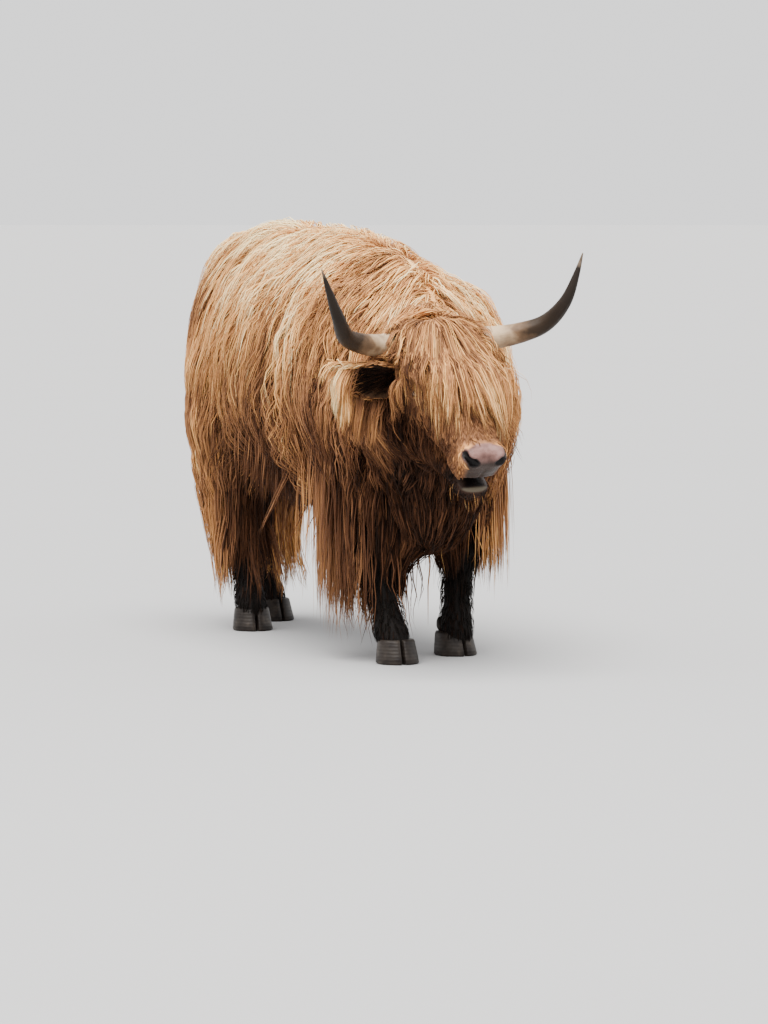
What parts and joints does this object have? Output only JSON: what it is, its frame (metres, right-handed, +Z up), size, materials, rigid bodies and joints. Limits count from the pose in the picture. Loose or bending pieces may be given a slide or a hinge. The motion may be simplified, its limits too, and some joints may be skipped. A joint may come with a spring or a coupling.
{
  "type": "highland cow",
  "caption": "Life-size still model of a standing highland cow with a long shaggy coat, wide upturned horns and a heavy forelock, its head lowered and turned a little to one side.",
  "frame": {"origin": "on the ground, below the middle of the cow's bounding box", "axes": "+Z up, the cow faces -Y, and its left side is +X"},
  "size_m": [0.8568, 2.0246, 1.2038],
  "materials": {
    "coat_tan": "long wavy hair, ginger tan",
    "coat_pale": "long straight hair, pale gold",
    "coat_russet": "long hair, reddish brown",
    "coat_dark": "short hair, nearly black",
    "nose_skin": "moist, finely creased",
    "horn": "satin, pale at the root and dark at the tip",
    "hoof": "dull, faintly ringed",
    "eye": "wet and glossy"
  },
  "bodies": {
    "root": {"head": "coat_tan", "forelock": "coat_pale", "muzzle": "nose_skin", "jaw": "coat_russet", "horn_left": "horn", "horn_right": "horn", "ear_left": "coat_pale", "ear_right": "coat_pale", "eye_left": "eye", "eye_right": "eye", "trunk": "coat_tan", "neck": "coat_tan", "tail": "coat_tan", "tail_switch": "coat_russet", "fringe_left": "coat_russet", "fringe_right": "coat_russet", "foreleg_right_upper": "coat_russet", "foreleg_right_lower": "coat_dark", "foreleg_right_dewclaw_outer": "hoof", "foreleg_right_claw_outer": "hoof", "foreleg_right_dewclaw_inner": "hoof", "foreleg_right_claw_inner": "hoof", "foreleg_left_upper": "coat_russet", "foreleg_left_lower": "coat_dark", "foreleg_left_dewclaw_outer": "hoof", "foreleg_left_claw_outer": "hoof", "foreleg_left_dewclaw_inner": "hoof", "foreleg_left_claw_inner": "hoof", "hindleg_right_upper": "coat_tan", "hindleg_right_lower": "coat_dark", "hindleg_right_curtain": "coat_russet", "hindleg_right_dewclaw_outer": "hoof", "hindleg_right_claw_outer": "hoof", "hindleg_right_dewclaw_inner": "hoof", "hindleg_right_claw_inner": "hoof", "hindleg_left_upper": "coat_tan", "hindleg_left_lower": "coat_dark", "hindleg_left_curtain": "coat_russet", "hindleg_left_dewclaw_outer": "hoof", "hindleg_left_claw_outer": "hoof", "hindleg_left_dewclaw_inner": "hoof", "hindleg_left_claw_inner": "hoof"}
  },
  "joints": []
}
